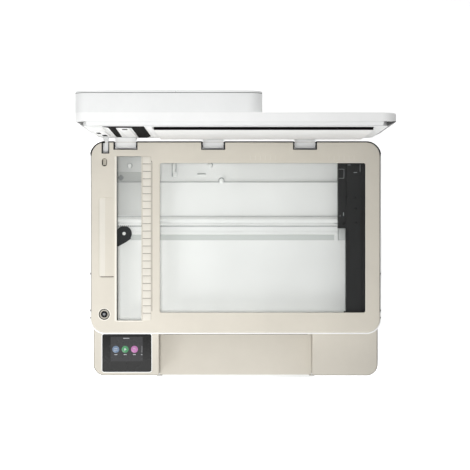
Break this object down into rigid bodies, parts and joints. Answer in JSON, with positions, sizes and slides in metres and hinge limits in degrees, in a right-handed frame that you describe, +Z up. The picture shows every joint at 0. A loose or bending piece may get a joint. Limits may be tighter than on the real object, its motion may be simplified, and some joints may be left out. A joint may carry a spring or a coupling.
{
  "type": "inkjet printer",
  "caption": "All-in-one inkjet printer with flatbed scanner, document feeder in a hinged lid, front paper drawer, output slot and touch panel",
  "frame": {"origin": "middle of the machine's box on the desk, with the scanner lid open", "axes": "+Z up, -Y towards the user at the front, +X to the user's right, seen from the front"},
  "size_m": [0.437, 0.4209, 0.4055],
  "materials": {
    "white_casing": "fine moulded grain",
    "beige_casing": "fine moulded grain",
    "black_casing": "fine moulded grain",
    "ivory_plastic": "smooth",
    "touch_glass": "polished black",
    "foot_rubber": "matt",
    "roller_rubber": "ground",
    "steel": "drawn",
    "sheet_steel": "zinc plated",
    "black_plastic": "smooth",
    "grey_plastic": "smooth",
    "colour_cartridge": "smooth",
    "belt_rubber": "matt",
    "brass": "machined",
    "circuit_board": "lacquered",
    "clear_glass": "polished",
    "pad": "white sheet on black foam"
  },
  "bodies": {
    "base": {"base_pan": "white_casing", "rubber_feet": "foot_rubber", "left_cover": "white_casing", "right_cover": "white_casing", "rear_cover": "black_casing", "front_deck": "beige_casing", "output_floor": "beige_casing", "touch_panel": "touch_glass", "print_frame": "sheet_steel", "carriage_rod": "steel", "platen": "black_plastic", "service_station": "grey_plastic", "mainboard": "circuit_board", "drive_motors": "sheet_steel", "power_supply": "black_plastic", "usb_port": "sheet_steel", "carriage_belt": "belt_rubber"},
    "drawer": {"paper_tray": "white_casing"},
    "guide_left": {"tray_guide_left": "grey_plastic"},
    "guide_right": {"tray_guide_right": "grey_plastic"},
    "guide_length": {"length_guide": "grey_plastic"},
    "extender": {"output_extender": "white_casing"},
    "pick_lever": {"pick_arm": "black_plastic"},
    "pick_wheel": {"pick_roller": "roller_rubber"},
    "feed_shaft": {"feed_roller": "steel"},
    "exit_shaft": {"exit_roller": "roller_rubber"},
    "idler": {"idler_gear": "grey_plastic"},
    "motor_gear": {"motor_pinion": "brass"},
    "pinch_shaft": {"pinch_rollers": "black_plastic"},
    "carriage": {"print_carriage": "black_plastic", "cartridge_black": "black_plastic", "cartridge_colour": "colour_cartridge"},
    "pulley_left": {"drive_pulley": "brass"},
    "pulley_right": {"idle_pulley": "grey_plastic"},
    "access_door": {"rear_door": "black_casing"},
    "button": {"power_button": "grey_plastic"},
    "scanner_unit": {"scanner_tray": "white_casing", "scanner_rear_band": "black_casing", "scanner_bezel": "beige_casing", "scan_glass": "clear_glass", "feeder_glass": "clear_glass", "size_ruler": "ivory_plastic", "scan_rack": "grey_plastic", "cable_anchor": "black_plastic", "lid_hinge_pins": "steel"},
    "sensor_pin": {"lid_sensor": "black_plastic"},
    "scan_head": {"scan_carriage": "black_plastic"},
    "scan_gear": {"scan_pinion": "grey_plastic"},
    "lid": {"lid_shell": "white_casing", "lid_liner": "white_casing", "lid_pad": "pad", "feeder_window": "black_plastic", "feeder_body": "white_casing", "input_deck": "white_casing"},
    "cover": {"feeder_cover": "white_casing"},
    "flap": {"feeder_flap": "white_casing"},
    "feed_guide_front": {"feeder_guide_front": "grey_plastic"},
    "feed_guide_rear": {"feeder_guide_rear": "grey_plastic"},
    "drum": {"feeder_drum": "roller_rubber"},
    "feed_wheel": {"feeder_pick_roller": "roller_rubber"}
  },
  "joints": [
    {"name": "drawer_slide", "type": "slide", "parent": "base", "child": "drawer", "axis": [0, -1, 0], "range_m": [0, 0.2]},
    {"name": "guide_left_slide", "type": "slide", "parent": "drawer", "child": "guide_left", "axis": [1, 0, 0], "range_m": [0, 0.054]},
    {"name": "guide_right_slide", "type": "slide", "parent": "drawer", "child": "guide_right", "axis": [-1, 0, 0], "range_m": [0, 0.054]},
    {"name": "guide_length_slide", "type": "slide", "parent": "drawer", "child": "guide_length", "axis": [0, 1, 0], "range_m": [0, 0.1]},
    {"name": "extender_slide", "type": "slide", "parent": "base", "child": "extender", "axis": [0, -1, 0], "range_m": [0, 0.12]},
    {"name": "pick_lift", "type": "hinge", "parent": "base", "child": "pick_lever", "pos_m": [0, 0.068, 0.04], "axis": [1, 0, 0], "range_deg": [0, 10]},
    {"name": "pick_spin", "type": "hinge", "parent": "pick_lever", "child": "pick_wheel", "pos_m": [0, 0.092, 0.021], "axis": [1, 0, 0], "continuous": true},
    {"name": "feed_spin", "type": "hinge", "parent": "base", "child": "feed_shaft", "pos_m": [0, 0.068, 0.04], "axis": [1, 0, 0], "continuous": true},
    {"name": "exit_spin", "type": "hinge", "parent": "base", "child": "exit_shaft", "pos_m": [0, 0.01, 0.04], "axis": [1, 0, 0], "continuous": true},
    {"name": "idler_spin", "type": "hinge", "parent": "base", "child": "idler", "pos_m": [-0.147, 0.036, 0.04], "axis": [1, 0, 0], "continuous": true},
    {"name": "motor_spin", "type": "hinge", "parent": "base", "child": "motor_gear", "pos_m": [-0.147, 0.082, 0.01575], "axis": [1, 0, 0], "continuous": true},
    {"name": "pinch_spin", "type": "hinge", "parent": "base", "child": "pinch_shaft", "pos_m": [0, 0.069, 0.0516], "axis": [1, 0, 0], "continuous": true},
    {"name": "carriage_slide", "type": "slide", "parent": "base", "child": "carriage", "axis": [-1, 0, 0], "range_m": [0, 0.25]},
    {"name": "pulley_left_spin", "type": "hinge", "parent": "base", "child": "pulley_left", "pos_m": [-0.178, 0.081, 0.072], "axis": [0, 1, 0], "range_deg": [-2400, 2400]},
    {"name": "pulley_right_spin", "type": "hinge", "parent": "base", "child": "pulley_right", "pos_m": [0.178, 0.081, 0.072], "axis": [0, 1, 0], "range_deg": [-2400, 2400]},
    {"name": "rear_door_hinge", "type": "hinge", "parent": "base", "child": "access_door", "pos_m": [0, 0.1525, 0.029], "axis": [-1, 0, 0], "range_deg": [0, 80]},
    {"name": "power_press", "type": "slide", "parent": "base", "child": "button", "axis": [0, -1, 0], "range_m": [0, 0.0015], "stiffness_N_per_m": 300},
    {"name": "scanner_lift", "type": "hinge", "parent": "base", "child": "scanner_unit", "pos_m": [0, 0.15, 0.0845], "axis": [-1, 0, 0], "range_deg": [0, 30]},
    {"name": "sensor_press", "type": "slide", "parent": "scanner_unit", "child": "sensor_pin", "axis": [0, 0, -1], "range_m": [0, 0.0025], "stiffness_N_per_m": 100},
    {"name": "scan_slide", "type": "slide", "parent": "scanner_unit", "child": "scan_head", "axis": [-1, 0, 0], "range_m": [0, 0.345]},
    {"name": "scan_gear_spin", "type": "hinge", "parent": "scan_head", "child": "scan_gear", "pos_m": [0.174, 0.024, 0.1046], "axis": [0, 0, 1], "range_deg": [-3400, 3400]},
    {"name": "lid_hinge", "type": "hinge", "parent": "scanner_unit", "child": "lid", "pos_m": [0, 0.15, 0.1255], "axis": [1, 0, 0], "range_deg": [0, 90]},
    {"name": "cover_hinge", "type": "hinge", "parent": "lid", "child": "cover", "pos_m": [-0.216, 0.2057, 0.2655], "axis": [0, 0, 1], "range_deg": [0, 75]},
    {"name": "flap_hinge", "type": "hinge", "parent": "lid", "child": "flap", "pos_m": [0.036, 0.2057, 0.2655], "axis": [0, 0, -1], "range_deg": [0, 150]},
    {"name": "feed_guide_front_slide", "type": "slide", "parent": "lid", "child": "feed_guide_front", "axis": [0, 0, -1], "range_m": [0, 0.06]},
    {"name": "feed_guide_rear_slide", "type": "slide", "parent": "lid", "child": "feed_guide_rear", "axis": [0, 0, 1], "range_m": [0, 0.06]},
    {"name": "drum_spin", "type": "hinge", "parent": "lid", "child": "drum", "pos_m": [-0.182, 0.1865, 0.2655], "axis": [0, 0, 1], "continuous": true},
    {"name": "feed_wheel_spin", "type": "hinge", "parent": "lid", "child": "feed_wheel", "pos_m": [-0.095, 0.1965, 0.2655], "axis": [0, 0, 1], "continuous": true}
  ],
  "couplings": [
    {"joint": "guide_right_slide", "follows": "guide_left_slide", "ratio": 1},
    {"joint": "feed_guide_rear_slide", "follows": "feed_guide_front_slide", "ratio": 1},
    {"joint": "idler_spin", "follows": "feed_spin", "ratio": -2.2},
    {"joint": "exit_spin", "follows": "feed_spin", "ratio": 1.375},
    {"joint": "motor_spin", "follows": "feed_spin", "ratio": -3.6667},
    {"joint": "pinch_spin", "follows": "feed_spin", "ratio": -1.5909},
    {"joint": "pick_spin", "follows": "feed_spin", "ratio": 0.7},
    {"joint": "pulley_left_spin", "follows": "carriage_slide", "rad_per_m": -153.85},
    {"joint": "pulley_right_spin", "follows": "carriage_slide", "rad_per_m": -153.85},
    {"joint": "scan_gear_spin", "follows": "scan_slide", "rad_per_m": -166.67},
    {"joint": "feed_wheel_spin", "follows": "drum_spin", "ratio": -2}
  ]
}
